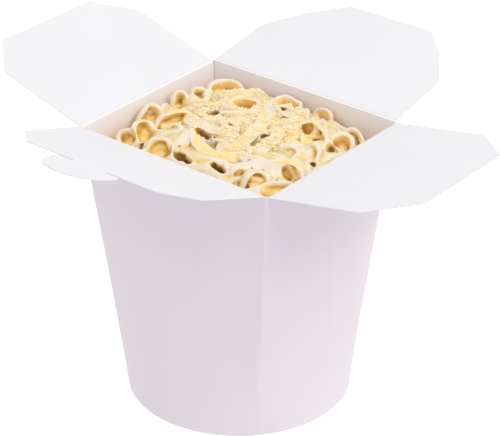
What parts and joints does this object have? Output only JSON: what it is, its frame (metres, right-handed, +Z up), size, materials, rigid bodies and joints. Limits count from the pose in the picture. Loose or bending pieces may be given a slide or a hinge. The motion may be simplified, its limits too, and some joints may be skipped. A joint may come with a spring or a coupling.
{
  "type": "noodle takeaway box",
  "caption": "Paper takeaway pail with a round base and rectangular mouth, flaps folded open, full of flat noodles in cream sauce with grated cheese and pepper.",
  "frame": {"origin": "centre of the round base, on the surface it stands on", "axes": "+Z up, +X along the long side of the mouth, the flap with the tongue is on the -Y side"},
  "size_m": [0.2227, 0.2162, 0.1458],
  "materials": {
    "paperboard": "matte",
    "creamy_noodles": "satin"
  },
  "bodies": {
    "carton": {"box_wall": "paperboard", "base_disc": "paperboard", "noodles": "creamy_noodles"},
    "front_flap": {"flap_front": "paperboard"},
    "back_flap": {"flap_back": "paperboard"},
    "left_flap": {"flap_left": "paperboard"},
    "right_flap": {"flap_right": "paperboard"}
  },
  "joints": [
    {"name": "front_fold", "type": "hinge", "parent": "carton", "child": "front_flap", "pos_m": [0, -0.0439, 0.1233], "axis": [-1, 0, 0], "range_deg": [-95, 159.4]},
    {"name": "back_fold", "type": "hinge", "parent": "carton", "child": "back_flap", "pos_m": [0, 0.0439, 0.1233], "axis": [1, 0, 0], "range_deg": [-86, 170]},
    {"name": "left_fold", "type": "hinge", "parent": "carton", "child": "left_flap", "pos_m": [-0.05025, 0, 0.1227], "axis": [0, 1, 0], "range_deg": [-92, 165]},
    {"name": "right_fold", "type": "hinge", "parent": "carton", "child": "right_flap", "pos_m": [0.05025, 0, 0.1227], "axis": [0, -1, 0], "range_deg": [-86.5, 169.5]}
  ]
}
